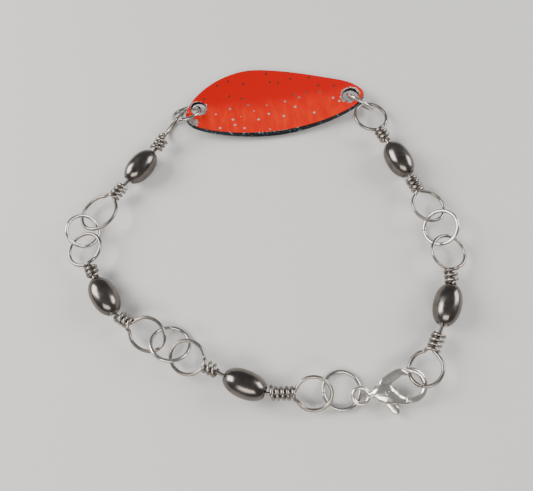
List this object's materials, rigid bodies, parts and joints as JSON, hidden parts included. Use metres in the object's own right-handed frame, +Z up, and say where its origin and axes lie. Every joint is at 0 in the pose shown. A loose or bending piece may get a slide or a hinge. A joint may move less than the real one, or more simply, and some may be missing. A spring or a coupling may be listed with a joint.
{
  "type": "fishing spoon bracelet",
  "caption": "Limp chain bracelet: an enamelled casting-spoon blade joined by wire-wrapped oval bead links, jump rings and a sprung lobster clasp.",
  "frame": {"origin": "bottom centre of the bounding box, on the table the closed bracelet lies on", "axes": "+X along the spoon blade's side of the loop to the right, +Y from the clasp to the spoon, +Z up off the table"},
  "size_m": [0.0662, 0.0618, 0.0051],
  "materials": {
    "lacquered_blade": "glossy fluorescent orange-red lacquer with sparse glitter over bare metal",
    "bead": "polished gunmetal",
    "link_wire": "dull gunmetal-plated wire",
    "jump_ring": "polished nickel-plated wire",
    "clasp": "bright plated casting",
    "clasp_steel": "plain drawn steel"
  },
  "bodies": {
    "spoon": {"spoon_blade": "lacquered_blade"},
    "ring_spoon_left": {"jump_ring_spoon_left": "jump_ring"},
    "ring_spoon_right": {"jump_ring_spoon_right": "jump_ring"},
    "ring_ab": {"jump_ring_ab": "jump_ring"},
    "ring_bc": {"jump_ring_bc": "jump_ring"},
    "ring_clasp": {"jump_ring_clasp": "jump_ring"},
    "ring_de": {"jump_ring_de": "jump_ring"},
    "link_a": {"link_wire_a": "link_wire"},
    "link_b": {"link_wire_b": "link_wire"},
    "link_c": {"link_wire_c": "link_wire"},
    "link_d": {"link_wire_d": "link_wire"},
    "link_e": {"link_wire_e": "link_wire"},
    "bead_a": {"bead_a": "bead"},
    "bead_b": {"bead_b": "bead"},
    "bead_c": {"bead_c": "bead"},
    "bead_d": {"bead_d": "bead"},
    "bead_e": {"bead_e": "bead"},
    "clasp": {"clasp_body": "clasp", "clasp_pin": "clasp_steel", "clasp_spring": "clasp_steel"},
    "lever": {"clasp_lever": "clasp"}
  },
  "joints": [
    {"name": "left_end_ring_swing", "type": "hinge", "parent": "spoon", "child": "ring_spoon_left", "pos_m": [-0.01246, 0.02233, 0.0018], "axis": [0.8507, 0.5177, -0.0917], "range_deg": [-4, 7]},
    {"name": "right_end_ring_swing", "type": "hinge", "parent": "spoon", "child": "ring_spoon_right", "pos_m": [0.01545, 0.0249, 0.0018], "axis": [0.606, -0.7908, 0.0858], "range_deg": [-25, 8]},
    {"name": "left_side_fold", "type": "hinge", "parent": "spoon", "child": "ring_ab", "pos_m": [-0.01571, 0.02036, 0.00215], "axis": [0.6471, -0.7624, 0], "range_deg": [-4, 35]},
    {"name": "lower_left_fold", "type": "hinge", "parent": "ring_ab", "child": "ring_bc", "pos_m": [-0.02925, -0.00232, 0.00215], "axis": [0.9142, -0.4053, 0], "range_deg": [-6, 40]},
    {"name": "lower_fold", "type": "hinge", "parent": "ring_bc", "child": "ring_clasp", "pos_m": [-0.01445, -0.02106, 0.00215], "axis": [0.9928, -0.1198, 0], "range_deg": [-4, 40]},
    {"name": "right_side_fold", "type": "hinge", "parent": "spoon", "child": "ring_de", "pos_m": [0.01792, 0.02167, 0.00215], "axis": [0.1133, -0.9936, 0], "range_deg": [-6, 35]},
    {"name": "link_a_roll", "type": "hinge", "parent": "ring_ab", "child": "link_a", "pos_m": [-0.01571, 0.02036, 0.00215], "axis": [-0.5574, -0.8302, 0], "range_deg": [-4, 35]},
    {"name": "link_b_roll", "type": "hinge", "parent": "ring_bc", "child": "link_b", "pos_m": [-0.03036, -0.00368, 0.00215], "axis": [0.6531, -0.7572, 0], "range_deg": [-6, 35]},
    {"name": "link_c_roll", "type": "hinge", "parent": "ring_clasp", "child": "link_c", "pos_m": [-0.01275, -0.02198, 0.00215], "axis": [0.9694, -0.2457, 0], "range_deg": [-8, 12]},
    {"name": "link_d_roll", "type": "hinge", "parent": "ring_de", "child": "link_d", "pos_m": [0.02331, -0.02562, 0.00215], "axis": [0.2758, 0.9612, 0], "range_deg": [-14, 5]},
    {"name": "link_e_roll", "type": "hinge", "parent": "ring_de", "child": "link_e", "pos_m": [0.02838, 0.00051, 0.00215], "axis": [-0.4432, 0.8964, 0], "range_deg": [-10, 12]},
    {"name": "clasp_roll", "type": "hinge", "parent": "ring_clasp", "child": "clasp", "pos_m": [0.01433, -0.02807, 0.00105], "axis": [0.9581, 0.2617, 0.1167], "range_deg": [-4, 14]},
    {"name": "bead_a_spin", "type": "hinge", "parent": "link_a", "child": "bead_a", "pos_m": [-0.02205, 0.01025, 0.00215], "axis": [-0.5736, -0.8192, 0], "continuous": true},
    {"name": "bead_b_spin", "type": "hinge", "parent": "link_b", "child": "bead_b", "pos_m": [-0.0256, -0.01335, 0.00215], "axis": [0.5736, -0.8192, 0], "continuous": true},
    {"name": "bead_c_spin", "type": "hinge", "parent": "link_c", "child": "bead_c", "pos_m": [-0.0024, -0.02685, 0.00215], "axis": [0.9317, -0.3633, 0], "continuous": true},
    {"name": "bead_d_spin", "type": "hinge", "parent": "link_d", "child": "bead_d", "pos_m": [0.0289, -0.01445, 0.00215], "axis": [0.314, 0.9494, 0], "continuous": true},
    {"name": "bead_e_spin", "type": "hinge", "parent": "link_e", "child": "bead_e", "pos_m": [0.0233, 0.01135, 0.00215], "axis": [-0.4242, 0.9056, 0], "continuous": true},
    {"name": "clasp_lever_swing", "type": "hinge", "parent": "clasp", "child": "lever", "pos_m": [0.0186, -0.02764, 0.00165], "axis": [0.0395, -0.2387, 0.9703], "range_deg": [-10, 0], "stiffness_Nm_per_rad": 0.0003, "springref_deg": 2.86}
  ]
}
